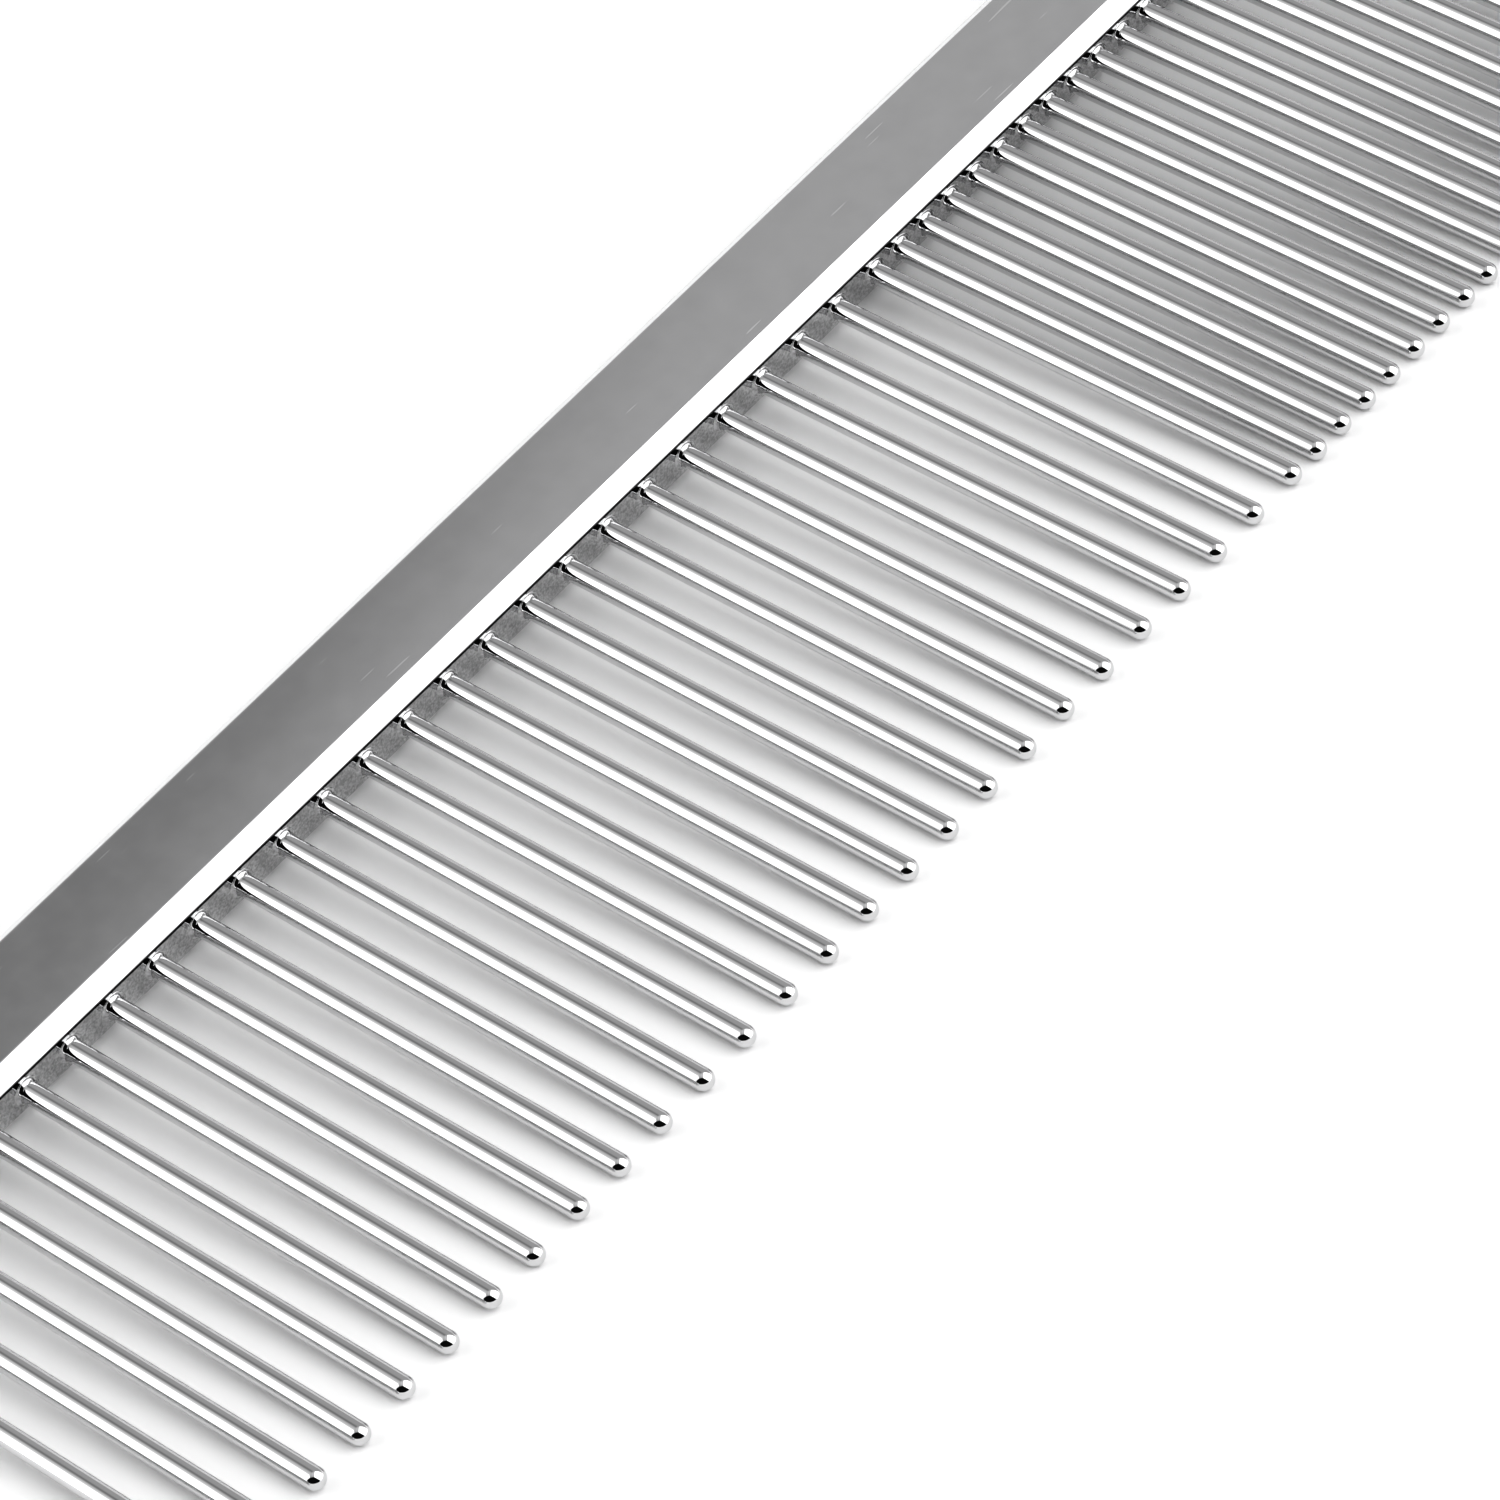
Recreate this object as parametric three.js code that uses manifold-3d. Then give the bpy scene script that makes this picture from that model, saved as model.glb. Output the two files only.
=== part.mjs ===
// Two-zone grooming comb: a bevelled metal spine bar with round pins seated in its front edge.
// Millimetres. +X runs along the spine towards the fine zone, the pins point to -Y, +Z is up.
// The origin is the centre of the comb's footprint, on the plane of the spine's underside.
import * as THREE from 'three';
import { mergeGeometries, mergeVertices } from 'three/addons/utils/BufferGeometryUtils.js';
import Module from 'manifold-3d';

// Spine bar: an eight-sided section, with the same bevel on its four long edges.
const SPINE_LENGTH = 190;
const SPINE_DEPTH = 8.4;
const SPINE_THICKNESS = 4.6;
const EDGE_BEVEL = 1.0;
const END_CHAMFER = 0.5;

// Pins: a round shank with a domed tip, and a small flare where it leaves the spine.
const PIN_RADIUS = 0.7;
const PIN_REACH = 32.9;
const PIN_SEAT_DEPTH = 5;
const PIN_SIDES = 12;
const TIP_RINGS = 4;
const FLARE_RADIUS = 0.95;
const FLARE_LENGTH = 0.4;

// Clearances between a pin and its blind hole, and between its flare and the front face.
const HOLE_CLEARANCE = 0.05;
const FACE_CLEARANCE = 0.05;
const HOLE_END_CLEARANCE = 0.3;

// Spacing of the two zones, from pin axis to pin axis.
const COARSE_COUNT = 26;
const COARSE_PITCH = 3.75;
const FINE_COUNT = 33;
const FINE_PITCH = 2.55;
const ZONE_GAP = 3.75;

// Places that follow from the sizes above.
const COARSE_SPAN = (COARSE_COUNT - 1) * COARSE_PITCH;
const FINE_SPAN = (FINE_COUNT - 1) * FINE_PITCH;
const FIRST_COARSE_X = -(COARSE_SPAN + ZONE_GAP + FINE_SPAN) / 2;
const FIRST_FINE_X = FIRST_COARSE_X + COARSE_SPAN + ZONE_GAP;
const BACK_FACE_Y = (SPINE_DEPTH + PIN_REACH) / 2;
const FRONT_FACE_Y = BACK_FACE_Y - SPINE_DEPTH;
const PIN_AXIS_Z = SPINE_THICKNESS / 2;

const wasm = await Module();
wasm.setup();

const spineMaterial = new THREE.MeshStandardMaterial({ color: 0xb4b5b8, roughness: 0.22, metalness: 1 });
const pinMaterial = new THREE.MeshStandardMaterial({ color: 0xd9dadd, roughness: 0.06, metalness: 1 });

// A closed solid for cutting, made from any closed geometry.
function toSolid(geometry) {
  const bare = geometry.clone();
  bare.deleteAttribute('normal');
  bare.deleteAttribute('uv');
  const merged = mergeVertices(bare);
  const vertProperties = new Float32Array(merged.attributes.position.array);
  const triVerts = new Uint32Array(merged.index.array);
  return new wasm.Manifold(new wasm.Mesh({ numProp: 3, vertProperties, triVerts }));
}

function toGeometry(solid) {
  const mesh = solid.getMesh();
  const geometry = new THREE.BufferGeometry();
  geometry.setAttribute('position', new THREE.BufferAttribute(mesh.vertProperties, 3));
  geometry.setIndex(new THREE.BufferAttribute(mesh.triVerts, 1));
  geometry.computeVertexNormals();
  return geometry;
}

function pinPositions(firstX, count, pitch) {
  const positions = [];
  for (let i = 0; i < count; i += 1) {
    positions.push(firstX + i * pitch);
  }
  return positions;
}

// The spine's section, centred on the extrusion axis: depth along x, thickness along y.
function spineSection() {
  const halfDepth = SPINE_DEPTH / 2;
  const halfThickness = SPINE_THICKNESS / 2;
  const section = new THREE.Shape();
  section.moveTo(halfDepth, -halfThickness + EDGE_BEVEL);
  section.lineTo(halfDepth, halfThickness - EDGE_BEVEL);
  section.lineTo(halfDepth - EDGE_BEVEL, halfThickness);
  section.lineTo(-halfDepth + EDGE_BEVEL, halfThickness);
  section.lineTo(-halfDepth, halfThickness - EDGE_BEVEL);
  section.lineTo(-halfDepth, -halfThickness + EDGE_BEVEL);
  section.lineTo(-halfDepth + EDGE_BEVEL, -halfThickness);
  section.lineTo(halfDepth - EDGE_BEVEL, -halfThickness);
  section.closePath();
  return section;
}

// The solid bar, with both ends chamfered all round, lying along X in its final place.
function spineBar() {
  const bar = new THREE.ExtrudeGeometry(spineSection(), {
    depth: SPINE_LENGTH - 2 * END_CHAMFER,
    bevelEnabled: true,
    bevelThickness: END_CHAMFER,
    bevelSize: END_CHAMFER,
    bevelOffset: -END_CHAMFER,
    bevelSegments: 1,
  });
  bar.translate(0, 0, -SPINE_LENGTH / 2 + END_CHAMFER);
  // Section x becomes +Y, section y becomes +Z and the extrusion runs along +X.
  const turn = new THREE.Matrix4().makeBasis(
    new THREE.Vector3(0, 1, 0),
    new THREE.Vector3(0, 0, 1),
    new THREE.Vector3(1, 0, 0),
  );
  bar.applyMatrix4(turn);
  bar.translate(0, FRONT_FACE_Y + SPINE_DEPTH / 2, PIN_AXIS_Z);
  return bar;
}

// One drill per pin. It starts in front of the spine, so that every blind hole has an open mouth.
function drills(positions) {
  const radius = PIN_RADIUS + HOLE_CLEARANCE;
  const depth = PIN_SEAT_DEPTH + HOLE_END_CLEARANCE;
  const overshoot = 1;
  const cylinders = positions.map((x) => {
    const drill = new THREE.CylinderGeometry(radius, radius, depth + overshoot, PIN_SIDES);
    drill.translate(x, FRONT_FACE_Y + (depth - overshoot) / 2, PIN_AXIS_Z);
    return drill;
  });
  return mergeGeometries(cylinders);
}

function buildSpine(positions) {
  const drilled = toSolid(spineBar()).subtract(toSolid(drills(positions)));
  const spine = new THREE.Mesh(toGeometry(drilled), spineMaterial);
  spine.name = 'spine';
  return spine;
}

// Half outline of a pin, from the tip to the seated end. y = 0 is the spine's front face.
function pinProfile() {
  const profile = [];
  const domeCentre = -PIN_REACH + PIN_RADIUS;
  for (let i = 0; i <= TIP_RINGS; i += 1) {
    const angle = (i / TIP_RINGS) * (Math.PI / 2);
    const radius = i === 0 ? 0 : PIN_RADIUS * Math.sin(angle);
    profile.push(new THREE.Vector2(radius, domeCentre - PIN_RADIUS * Math.cos(angle)));
  }
  profile.push(new THREE.Vector2(PIN_RADIUS, -FACE_CLEARANCE - FLARE_LENGTH));
  profile.push(new THREE.Vector2(FLARE_RADIUS, -FACE_CLEARANCE));
  profile.push(new THREE.Vector2(PIN_RADIUS, -FACE_CLEARANCE));
  profile.push(new THREE.Vector2(PIN_RADIUS, PIN_SEAT_DEPTH));
  profile.push(new THREE.Vector2(0, PIN_SEAT_DEPTH));
  return profile;
}

function buildPins(prefix, positions) {
  const zone = new THREE.Group();
  zone.position.set(0, FRONT_FACE_Y, PIN_AXIS_Z);
  const geometry = new THREE.LatheGeometry(pinProfile(), PIN_SIDES);
  positions.forEach((x, i) => {
    const pin = new THREE.Mesh(geometry, pinMaterial);
    pin.name = `${prefix}_${String(i + 1).padStart(2, '0')}`;
    pin.position.x = x;
    zone.add(pin);
  });
  return zone;
}

const coarsePositions = pinPositions(FIRST_COARSE_X, COARSE_COUNT, COARSE_PITCH);
const finePositions = pinPositions(FIRST_FINE_X, FINE_COUNT, FINE_PITCH);

const comb = new THREE.Group();
comb.add(buildSpine([...coarsePositions, ...finePositions]));
comb.add(buildPins('coarse_pin', coarsePositions));
comb.add(buildPins('fine_pin', finePositions));

export default comb;
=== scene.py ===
"""Looks for the two-zone grooming comb: plated spine, polished pins, a pale floor and soft studio light.

Metres, in the CAD frame: +X along the spine towards the fine zone, the pins point to -Y, +Z is up.
"""
import math
import random

import bmesh
import bpy
from mathutils import Matrix, Vector


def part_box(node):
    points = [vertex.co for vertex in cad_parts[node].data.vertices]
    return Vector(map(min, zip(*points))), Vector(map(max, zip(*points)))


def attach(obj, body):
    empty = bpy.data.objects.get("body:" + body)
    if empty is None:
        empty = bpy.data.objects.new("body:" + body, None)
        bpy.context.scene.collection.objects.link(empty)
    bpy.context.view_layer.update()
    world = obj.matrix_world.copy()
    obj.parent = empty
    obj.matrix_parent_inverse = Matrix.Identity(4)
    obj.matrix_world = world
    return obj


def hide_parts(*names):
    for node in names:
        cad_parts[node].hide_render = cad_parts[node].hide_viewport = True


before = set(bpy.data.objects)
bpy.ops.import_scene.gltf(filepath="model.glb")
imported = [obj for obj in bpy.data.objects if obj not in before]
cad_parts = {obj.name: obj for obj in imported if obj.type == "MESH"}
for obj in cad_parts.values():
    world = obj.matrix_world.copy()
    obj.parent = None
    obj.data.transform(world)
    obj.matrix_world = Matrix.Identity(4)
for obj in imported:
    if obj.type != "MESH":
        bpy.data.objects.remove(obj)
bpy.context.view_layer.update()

MM = 0.001

# Spine: the same eight-sided section as the CAD bar, with its edges broken by polishing and plating.
EDGE_BEVEL = 1.0 * MM
END_CHAMFER = 0.5 * MM
EDGE_ROUND = 0.14 * MM
ROUND_SEGMENTS = 4

# Pins: the CAD radius and reach, with a concave fillet of plating at the root.
PIN_RADIUS = 0.7 * MM
PIN_SIDES = 48
TIP_STEPS = 12
FILLET_RADIUS = 0.3 * MM
FILLET_STEPS = 6
FILLET_SINK = 0.02 * MM
ROOT_DEPTH = 0.6 * MM
RING_SHARES = (0.2, 0.5, 0.8)
TIP_WANDER = 0.05 * MM
TIP_WANDER_MOST = 0.1 * MM
WANDER_SEED = 59

# Materials. The spine's front face is darkened by painted shade, with a line of painted shade along its top,
# and each pin is rough at its root and darkened there by painted shade.
SPINE_COLOUR = (0.755, 0.755, 0.76)
PIN_COLOUR = (0.69, 0.69, 0.695)
FLOOR_COLOUR = (0.9, 0.9, 0.9)
# The front face band, whose colour is darkened by painted shade.
FACE_START = 0.02 * MM
FACE_END = 0.09 * MM
# Height and fade of the line of painted shade at the top of the front face.
SHADE_LINE_HEIGHT = 0.2 * MM
SHADE_LINE_FADE = 0.07 * MM
# Where each pin's root is rough and darkened by painted shade.
ROOT_GRIT_AND_SHADE_START = 0.15 * MM
ROOT_GRIT_AND_SHADE_END = 0.55 * MM
BUMP_STRENGTH = 0.6
BUMP_DEPTH = 0.03 * MM

# Floor: half the side of a square, in metres.
FLOOR_HALF = 1.5

# Camera: where it looks, and from where. Azimuth runs from +Y towards +X.
AIM = Vector((-27.4, -6.4, 2.3)) * MM
CAMERA_AZIMUTH = math.radians(43.421)
CAMERA_ELEVATION = math.radians(47.803)
CAMERA_ROLL = math.radians(10.0)
CAMERA_DISTANCE = 433.2 * MM
CAMERA_LENS = 176.25

# Studio panels. Heading and elevation are in degrees, the heading counted to the right from the way the
# camera looks. Wide and high are half sizes at a distance of 1, and edge is how softly the panel ends.
LEFT_BOX = {"heading": -78, "elevation": 27, "wide": 0.57, "high": 0.53, "light": 1.4, "edge": 0.12}
LEFT_CORE = {"heading": -78, "elevation": 12, "wide": 0.52, "high": 0.26, "light": 1.85, "edge": 0.15}
LEFT_GLOW = {"heading": -74, "elevation": 45, "wide": 0.42, "high": 0.3, "light": 0.78, "edge": 0.4}
RIGHT_BOX = {"heading": 101, "elevation": 40, "wide": 0.66, "high": 0.87, "light": 1.75, "edge": 0.12}
RIGHT_CORE = {"heading": 101, "elevation": 38, "wide": 0.5, "high": 0.4, "light": 2.15, "edge": 0.3}
DARK_SIDE = {"heading": 180, "elevation": 22, "wide": 2.2, "high": 0.9, "light": 0.01, "edge": 0.1}
GREY_CLOTH = {"heading": -17, "elevation": 52, "wide": 0.12, "high": 0.3, "light": 0.23, "edge": 0.24}
PANELS = (GREY_CLOTH, DARK_SIDE, LEFT_GLOW, LEFT_BOX, LEFT_CORE, RIGHT_BOX, RIGHT_CORE)

# Walls, placed by the sine of the elevation: bright at the horizon, an even grey, and a lighter ceiling.
HORIZON_LIGHT = 0.95
WALL_LIGHT = 0.38
CEILING_LIGHT = 0.6
WALL_START = 0.3
WALL_END = 0.87
WALLS = ((0, HORIZON_LIGHT), (WALL_START, WALL_LIGHT), (WALL_END, WALL_LIGHT), (1, CEILING_LIGHT))

# From the CAD: the spine's box, and the tip of one pin. All the pins end at the same Y.
SPINE_LOW, SPINE_HIGH = (Vector(corner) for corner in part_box("spine"))
FRONT_Y = SPINE_LOW.y
PIN_Z = (SPINE_LOW.z + SPINE_HIGH.z) / 2
TIP_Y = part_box("coarse_pin_01")[0][1]


# ---------------------------------------------------------------- meshes

def add_object(name, mesh_maker, material):
    """A new object whose mesh is made by mesh_maker on an empty bmesh."""
    bm = bmesh.new()
    mesh_maker(bm)
    bmesh.ops.recalc_face_normals(bm, faces=bm.faces)
    mesh = bpy.data.meshes.new(name)
    bm.to_mesh(mesh)
    bm.free()
    mesh.materials.append(material)
    obj = bpy.data.objects.new(name, mesh)
    bpy.context.scene.collection.objects.link(obj)
    return obj


def spine_section(inset):
    """The eight corners of the spine's section, in Y and Z, drawn in by inset on every side."""
    y0, y1 = SPINE_LOW.y + inset, SPINE_HIGH.y - inset
    z0, z1 = SPINE_LOW.z + inset, SPINE_HIGH.z - inset
    cut = EDGE_BEVEL - inset * (2 - math.sqrt(2))
    return [
        (y0, z0 + cut), (y0 + cut, z0), (y1 - cut, z0), (y1, z0 + cut),
        (y1, z1 - cut), (y1 - cut, z1), (y0 + cut, z1), (y0, z1 - cut),
    ]


def make_spine(bm):
    """Four sections, joined into a bar whose ends are chamfered all round, with every edge rounded."""
    stations = [
        (SPINE_LOW.x, END_CHAMFER), (SPINE_LOW.x + END_CHAMFER, 0),
        (SPINE_HIGH.x - END_CHAMFER, 0), (SPINE_HIGH.x, END_CHAMFER),
    ]
    rings = []
    for x, inset in stations:
        rings.append([bm.verts.new((x, y, z)) for y, z in spine_section(inset)])
    for ring, after in zip(rings, rings[1:]):
        for i in range(len(ring)):
            j = (i + 1) % len(ring)
            bm.faces.new((ring[i], ring[j], after[j], after[i]))
    bm.faces.new(rings[0])
    bm.faces.new(list(reversed(rings[-1])))
    bmesh.ops.bevel(
        bm, geom=list(bm.edges), offset=EDGE_ROUND, offset_type="OFFSET",
        segments=ROUND_SEGMENTS, profile=0.5, affect="EDGES", clamp_overlap=True,
    )
    for face in bm.faces:
        face.smooth = True


def pin_profile():
    """(radius, y) from the root inside the spine to the tip. y = 0 is the spine's front face."""
    outer = PIN_RADIUS + FILLET_RADIUS
    profile = [(PIN_RADIUS, ROOT_DEPTH), (outer, FILLET_SINK)]
    for i in range(FILLET_STEPS + 1):
        turn = math.pi / 2 * i / FILLET_STEPS
        profile.append((outer - FILLET_RADIUS * math.sin(turn), -FILLET_RADIUS * (1 - math.cos(turn))))
    reach = TIP_Y - FRONT_Y
    for share in RING_SHARES:
        profile.append((PIN_RADIUS, reach * share))
    for i in range(TIP_STEPS):
        turn = math.pi / 2 * i / TIP_STEPS
        profile.append((PIN_RADIUS * math.cos(turn), reach + PIN_RADIUS * (1 - math.sin(turn))))
    return profile


def make_pin(bm):
    """A solid of revolution about Y, with its root at the origin and a single point at the tip."""
    rings = []
    for radius, y in pin_profile():
        ring = []
        for i in range(PIN_SIDES):
            angle = 2 * math.pi * i / PIN_SIDES
            ring.append(bm.verts.new((radius * math.sin(angle), y, radius * math.cos(angle))))
        rings.append(ring)
    for ring, after in zip(rings, rings[1:]):
        for i in range(PIN_SIDES):
            j = (i + 1) % PIN_SIDES
            bm.faces.new((ring[i], ring[j], after[j], after[i]))
    tip = bm.verts.new((0, TIP_Y - FRONT_Y, 0))
    for i in range(PIN_SIDES):
        bm.faces.new((rings[-1][i], rings[-1][(i + 1) % PIN_SIDES], tip))
    bm.faces.new(rings[0])
    for face in bm.faces:
        face.smooth = True


# ---------------------------------------------------------------- materials

def new_material(name, colour, roughness):
    """A plated-metal material and its node tree. Colour, gloss and bump are added to it."""
    material = bpy.data.materials.new(name)
    material.use_nodes = True
    shader = material.node_tree.nodes["Principled BSDF"]
    shader.inputs["Base Color"].default_value = (*colour, 1)
    shader.inputs["Metallic"].default_value = 1
    shader.inputs["Roughness"].default_value = roughness
    return material, material.node_tree, shader


def add_node(tree, kind, **settings):
    """A node of that kind. Settings that name an input set its value, the others set the node."""
    node = tree.nodes.new(kind)
    for key, value in settings.items():
        if key in node.inputs:
            node.inputs[key].default_value = value
        else:
            setattr(node, key, value)
    return node


def object_coordinates(tree, stretch):
    """Object coordinates, stretched so that one unit is one metre divided by stretch."""
    source = add_node(tree, "ShaderNodeTexCoord")
    mapping = add_node(tree, "ShaderNodeMapping")
    mapping.inputs["Scale"].default_value = stretch
    tree.links.new(source.outputs["Object"], mapping.inputs["Vector"])
    return mapping.outputs["Vector"]


def ranged(tree, value, low, high, out_low, out_high, curve="LINEAR"):
    """The value mapped from low..high to out_low..out_high, and held at both ends."""
    node = add_node(tree, "ShaderNodeMapRange", interpolation_type=curve)
    node.inputs["From Min"].default_value = low
    node.inputs["From Max"].default_value = high
    node.inputs["To Min"].default_value = out_low
    node.inputs["To Max"].default_value = out_high
    tree.links.new(value, node.inputs["Value"])
    return node.outputs["Result"]


def noise(tree, vector, scale, detail=4.0):
    node = add_node(tree, "ShaderNodeTexNoise", Scale=scale, Detail=detail)
    tree.links.new(vector, node.inputs["Vector"])
    return node.outputs["Fac"]


def scale_colour(tree, colour, factor, shader):
    """The shader's colour becomes colour times the factor that varies over the surface."""
    node = add_node(tree, "ShaderNodeMix", data_type="RGBA", blend_type="MULTIPLY")
    node.inputs[0].default_value = 1
    node.inputs[6].default_value = (*colour, 1)
    tree.links.new(factor, node.inputs[7])
    tree.links.new(node.outputs[2], shader.inputs["Base Color"])


def add_bump(tree, shader, height):
    node = add_node(tree, "ShaderNodeBump", Strength=BUMP_STRENGTH, Distance=BUMP_DEPTH)
    tree.links.new(height, node.inputs["Height"])
    tree.links.new(node.outputs["Normal"], shader.inputs["Normal"])


def feed(tree, value, socket):
    """Sets the socket to a number, or links an output to it."""
    if isinstance(value, (int, float)):
        socket.default_value = value
    else:
        tree.links.new(value, socket)


def object_axis(tree, axis):
    """One object coordinate, in metres."""
    split = add_node(tree, "ShaderNodeSeparateXYZ")
    tree.links.new(object_coordinates(tree, (1, 1, 1)), split.inputs[0])
    return split.outputs[axis]


def blend_value(tree, factor, low, high):
    """A value that goes from low to high as factor goes from 0 to 1. Each may be a number or an output."""
    node = add_node(tree, "ShaderNodeMix", data_type="FLOAT")
    tree.links.new(factor, node.inputs[0])
    feed(tree, low, node.inputs[2])
    feed(tree, high, node.inputs[3])
    return node.outputs[0]


def spine_material():
    """Bright plate on the polished faces, with clouds, drawn lines and a few short scratch marks, which
    carry a painted glint.

    Between the pins the front face is pitted but still glossy, and darkened by painted shade, with a line of
    painted shade where it meets the polished bevel.
    """
    material, tree, shader = new_material("spine_plate", SPINE_COLOUR, 0.1)
    plain = object_coordinates(tree, (1, 1, 1))
    clouds = noise(tree, plain, 420)
    pits = noise(tree, plain, 6500, 5.0)
    lines = noise(tree, object_coordinates(tree, (0.02, 1, 1)), 9000, 2.0)
    streaks = noise(tree, object_coordinates(tree, (0.06, 1, 1)), 2600, 1.0)
    # Scratch marks, painted brighter than the plate: real wear with a painted glint.
    scratches_and_glint = ranged(tree, streaks, 0.735, 0.75, 0, 1)
    front = ranged(tree, object_axis(tree, "Y"), FRONT_Y + FACE_START, FRONT_Y + FACE_END, 1, 0)
    # A line of painted shade along the top of the front face, where it meets the bevel.
    shade_line_low = SPINE_HIGH.z - EDGE_BEVEL - SHADE_LINE_HEIGHT
    shade_line = ranged(tree, object_axis(tree, "Z"), shade_line_low, shade_line_low + SHADE_LINE_FADE, 0, 1)
    polished = ranged(tree, clouds, 0.25, 0.75, 0.955, 1.02)
    polished = blend_value(tree, scratches_and_glint, polished, 1.25)
    # Painted shade: the front face between the pins is darkened, and mottled by the pits.
    dark = ranged(tree, pits, 0.35, 0.65, 0.5, 0.85)
    dark = blend_value(tree, shade_line, dark, 0.03)
    scale_colour(tree, SPINE_COLOUR, blend_value(tree, front, polished, dark), shader)
    gloss = blend_value(tree, front, ranged(tree, clouds, 0.3, 0.7, 0.08, 0.14), 0.035)
    tree.links.new(gloss, shader.inputs["Roughness"])
    drawn = ranged(tree, lines, 0, 1, 0, 0.05)
    pitted = ranged(tree, pits, 0, 1, 0, 0.06)
    relief = blend_value(tree, front, drawn, pitted)
    add_bump(tree, shader, relief)
    return material


def pin_material():
    """Mirror-polished plate, with a trace of the polishing wheel, and rough where it runs into the spine,
    where it is also darkened by painted shade.
    """
    material, tree, shader = new_material("pin_plate", PIN_COLOUR, 0.04)
    plain = object_coordinates(tree, (1, 1, 1))
    lines = noise(tree, object_coordinates(tree, (1, 0.03, 1)), 6000, 2.0)
    grit_and_shade_noise = noise(tree, plain, 4200, 5.0)
    clouds = noise(tree, plain, 300)
    root = ranged(tree, object_axis(tree, "Y"), FRONT_Y - ROOT_GRIT_AND_SHADE_END, FRONT_Y - ROOT_GRIT_AND_SHADE_START, 0, 1)
    shade = ranged(tree, clouds, 0.25, 0.75, 0.96, 1.02)
    # Painted shade: the pin's root is darkened, broken up by noise.
    root_painted_shade = ranged(tree, grit_and_shade_noise, 0.3, 0.65, 0.5, 1)
    scale_colour(tree, PIN_COLOUR, blend_value(tree, root, shade, root_painted_shade), shader)
    gloss = blend_value(tree, root, ranged(tree, clouds, 0.3, 0.7, 0.025, 0.05), 0.06)
    tree.links.new(gloss, shader.inputs["Roughness"])
    drawn = ranged(tree, lines, 0, 1, 0, 0.012)
    rough = ranged(tree, grit_and_shade_noise, 0, 1, 0, 0.1)
    relief = blend_value(tree, root, drawn, rough)
    add_bump(tree, shader, relief)
    return material


def floor_material():
    material = bpy.data.materials.new("floor_white")
    material.use_nodes = True
    shader = material.node_tree.nodes["Principled BSDF"]
    shader.inputs["Base Color"].default_value = (*FLOOR_COLOUR, 1)
    shader.inputs["Roughness"].default_value = 0.9
    shader.inputs["Specular IOR Level"].default_value = 0.1
    return material


# ---------------------------------------------------------------- the comb

def build_spine(material):
    spine = add_object("spine_plated", make_spine, material)
    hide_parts("spine")
    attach(spine, "root")


def wander(dice):
    """A small sideways drift of a pin's tip, as an angle."""
    drift = max(-TIP_WANDER_MOST, min(TIP_WANDER_MOST, dice.gauss(0, TIP_WANDER)))
    return drift / (FRONT_Y - TIP_Y)


def build_pins(material):
    """Every CAD pin gets a polished one on the same axis, turned at its root by its small drift."""
    dice = random.Random(WANDER_SEED)
    names = sorted(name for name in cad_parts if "_pin_" in name)
    for name in names:
        low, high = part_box(name)
        pin = add_object(name + "_polished", make_pin, material)
        turn = Matrix.Rotation(wander(dice), 4, "Z") @ Matrix.Rotation(wander(dice), 4, "X")
        place = Matrix.Translation(((low[0] + high[0]) / 2, FRONT_Y, PIN_Z))
        pin.data.transform(place @ turn)
        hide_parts(name)
        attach(pin, "root")


# ---------------------------------------------------------------- floor, light and camera

def build_floor():
    """The centre of mass lies ahead of the spine, so the comb rests on its pins' tips and front lower edge.

    The CAD frame stays square to the comb, so the floor is the plane that leans by that small angle.
    """
    edge = Vector((0, FRONT_Y + EDGE_BEVEL, SPINE_LOW.z))
    tip = Vector((0, TIP_Y + PIN_RADIUS, PIN_Z))
    rise, run = tip.z - edge.z, edge.y - tip.y
    lean = math.atan2(rise, run) - math.asin(PIN_RADIUS / math.hypot(rise, run))

    def make_plane(bm):
        half = FLOOR_HALF
        corners = [(-half, -half), (half, -half), (half, half), (-half, half)]
        bm.faces.new([bm.verts.new((x, y, 0)) for x, y in corners])

    floor = add_object("floor", make_plane, floor_material())
    floor.matrix_world = Matrix.Translation(edge) @ Matrix.Rotation(-lean, 4, "X")


def smooth_inside(tree, value, limit, edge):
    """1 where the value's size is under limit, falling smoothly to 0 over edge."""
    size = add_node(tree, "ShaderNodeMath", operation="ABSOLUTE")
    tree.links.new(value, size.inputs[0])
    return ranged(tree, size.outputs[0], limit - edge / 2, limit + edge / 2, 1, 0, "SMOOTHSTEP")


def dot(tree, direction, axis):
    node = add_node(tree, "ShaderNodeVectorMath", operation="DOT_PRODUCT")
    node.inputs[1].default_value = axis
    tree.links.new(direction, node.inputs[0])
    return node.outputs["Value"]


def math_node(tree, operation, first, second):
    node = add_node(tree, "ShaderNodeMath", operation=operation)
    feed(tree, first, node.inputs[0])
    feed(tree, second, node.inputs[1])
    return node.outputs[0]


def panel_mask(tree, direction, panel):
    """1 in the directions that meet a flat panel which faces the comb."""
    heading = CAMERA_AZIMUTH + math.radians(panel["heading"])
    elevation = math.radians(panel["elevation"])
    level = Vector((math.sin(heading), math.cos(heading), 0))
    ahead = level * math.cos(elevation) + Vector((0, 0, math.sin(elevation)))
    across = Vector((math.cos(heading), -math.sin(heading), 0))
    up = across.cross(ahead)
    depth = math_node(tree, "MAXIMUM", dot(tree, direction, ahead), 0.001)
    wide = math_node(tree, "DIVIDE", dot(tree, direction, across), depth)
    high = math_node(tree, "DIVIDE", dot(tree, direction, up), depth)
    in_width = smooth_inside(tree, wide, panel["wide"], panel["edge"])
    in_height = smooth_inside(tree, high, panel["high"], panel["edge"])
    return math_node(tree, "MULTIPLY", in_width, in_height)


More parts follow.
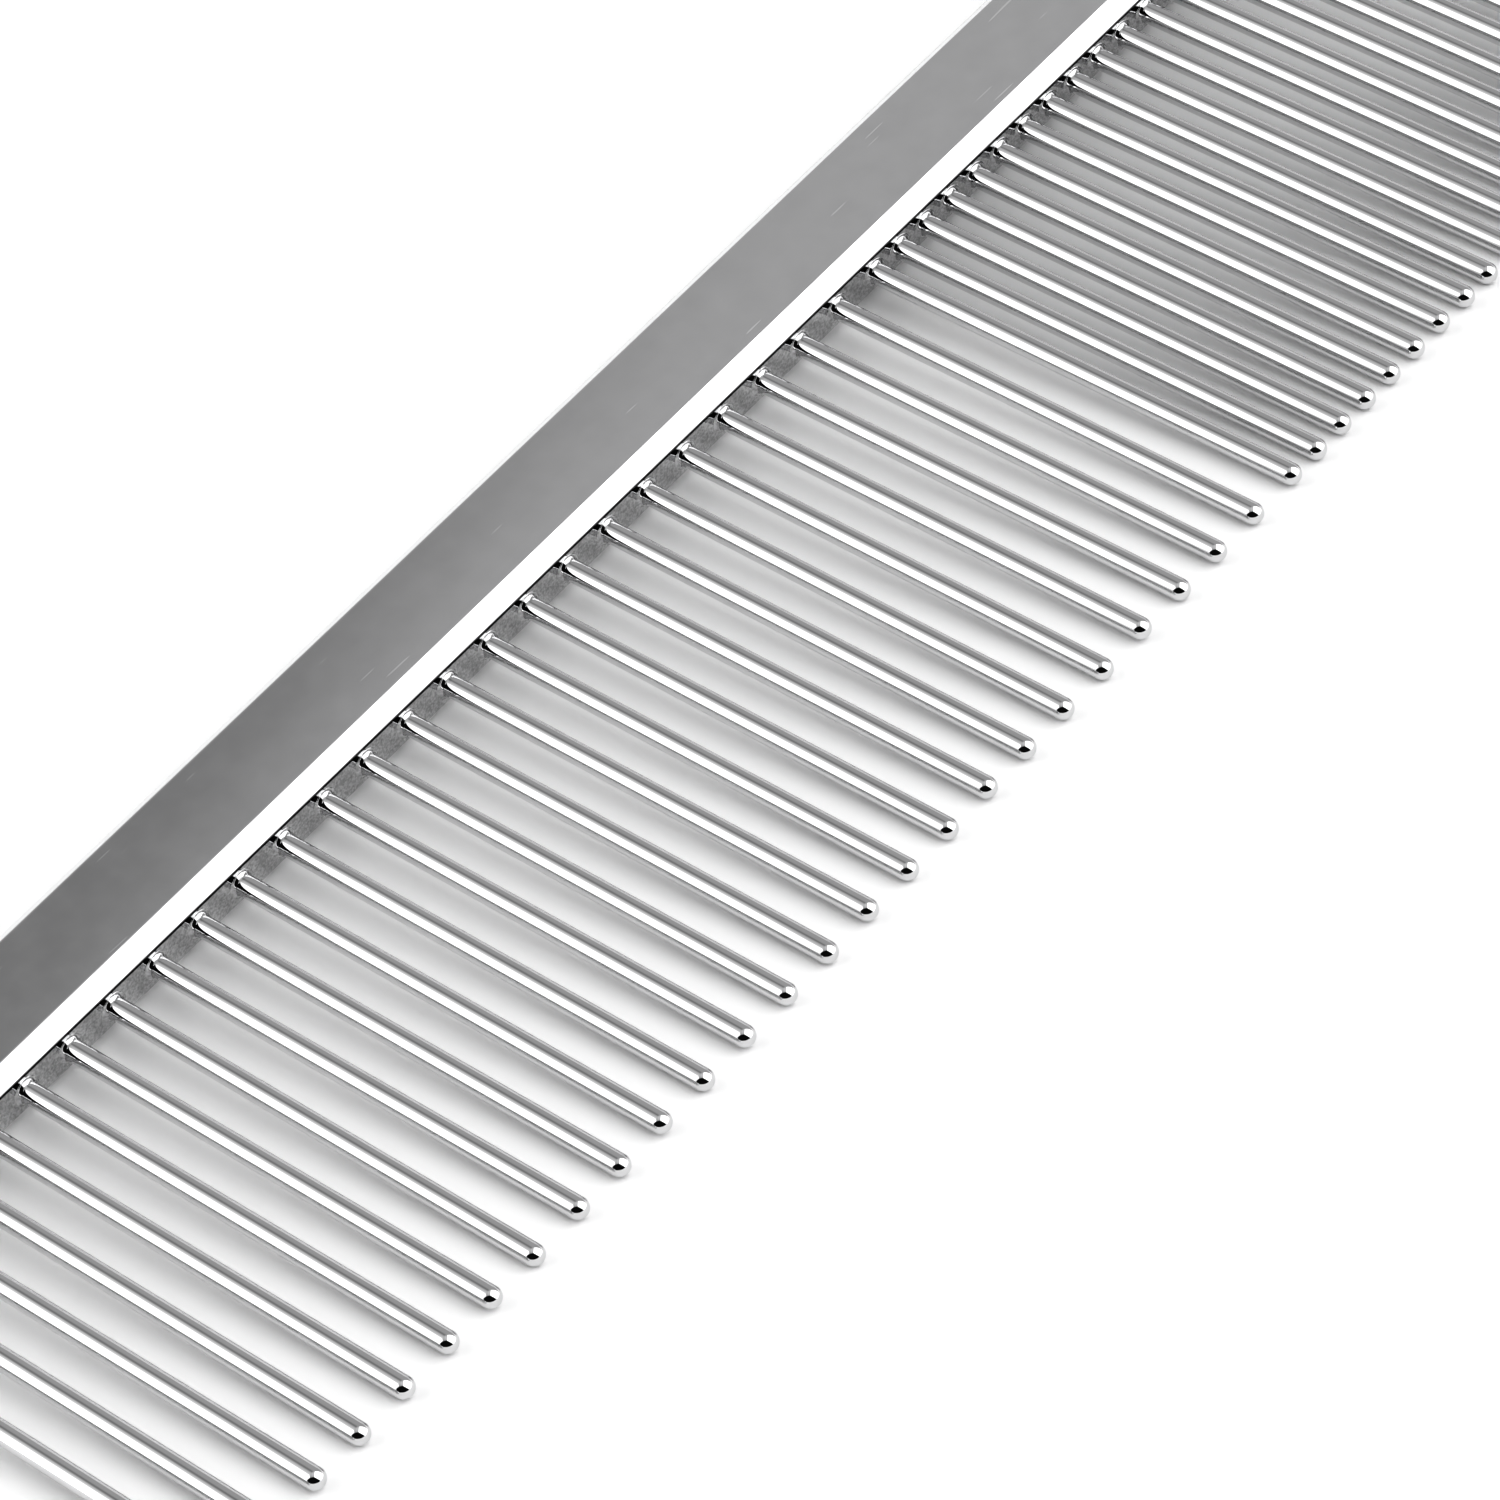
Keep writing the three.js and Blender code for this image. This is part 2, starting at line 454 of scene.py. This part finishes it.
def tent_light(tree, direction):
    """The studio's grey walls and ceiling, by the sine of the elevation."""
    split = add_node(tree, "ShaderNodeSeparateXYZ")
    tree.links.new(direction, split.inputs[0])
    ramp = add_node(tree, "ShaderNodeValToRGB")
    points = ramp.color_ramp.elements
    points[0].position, points[1].position = WALLS[0][0], WALLS[-1][0]
    for place, _ in WALLS[1:-1]:
        points.new(place)
    for point, (_, grey) in zip(points, WALLS):
        point.color = (grey, grey, grey, 1)
    tree.links.new(split.outputs["Z"], ramp.inputs["Fac"])
    return ramp.outputs["Color"]


def build_studio():
    """Soft boxes left and right, a dark side behind the camera, and a pale backdrop for the eye."""
    world = bpy.data.worlds.new("studio")
    bpy.context.scene.world = world
    world.use_nodes = True
    tree = world.node_tree
    tree.nodes.clear()
    direction = add_node(tree, "ShaderNodeTexCoord").outputs["Generated"]
    light = tent_light(tree, direction)
    for panel in PANELS:
        light = blend_value(tree, panel_mask(tree, direction, panel), light, panel["light"])
    seen = add_node(tree, "ShaderNodeBackground", Color=(0.97, 0.97, 0.97, 1), Strength=1.0)
    lit = add_node(tree, "ShaderNodeBackground", Strength=1.0)
    tree.links.new(light, lit.inputs["Color"])
    path = add_node(tree, "ShaderNodeLightPath")
    choose = add_node(tree, "ShaderNodeMixShader")
    tree.links.new(path.outputs["Is Camera Ray"], choose.inputs[0])
    tree.links.new(lit.outputs[0], choose.inputs[1])
    tree.links.new(seen.outputs[0], choose.inputs[2])
    output = add_node(tree, "ShaderNodeOutputWorld")
    tree.links.new(choose.outputs[0], output.inputs["Surface"])
    bpy.context.scene.view_settings.view_transform = "Standard"
    bpy.context.scene.view_settings.look = "High Contrast"


def build_camera():
    data = bpy.data.cameras.new("camera")
    data.lens = CAMERA_LENS
    data.sensor_width = 36
    camera = bpy.data.objects.new("camera", data)
    bpy.context.scene.collection.objects.link(camera)
    level = Vector((math.sin(CAMERA_AZIMUTH), math.cos(CAMERA_AZIMUTH), 0))
    ahead = level * math.cos(CAMERA_ELEVATION) - Vector((0, 0, math.sin(CAMERA_ELEVATION)))
    look = ahead.to_track_quat("-Z", "Y").to_matrix().to_4x4()
    roll = Matrix.Rotation(-CAMERA_ROLL, 4, "Z")
    camera.matrix_world = Matrix.Translation(AIM - ahead * CAMERA_DISTANCE) @ look @ roll
    bpy.context.scene.camera = camera


build_camera()
build_studio()
build_floor()
build_spine(spine_material())
build_pins(pin_material())
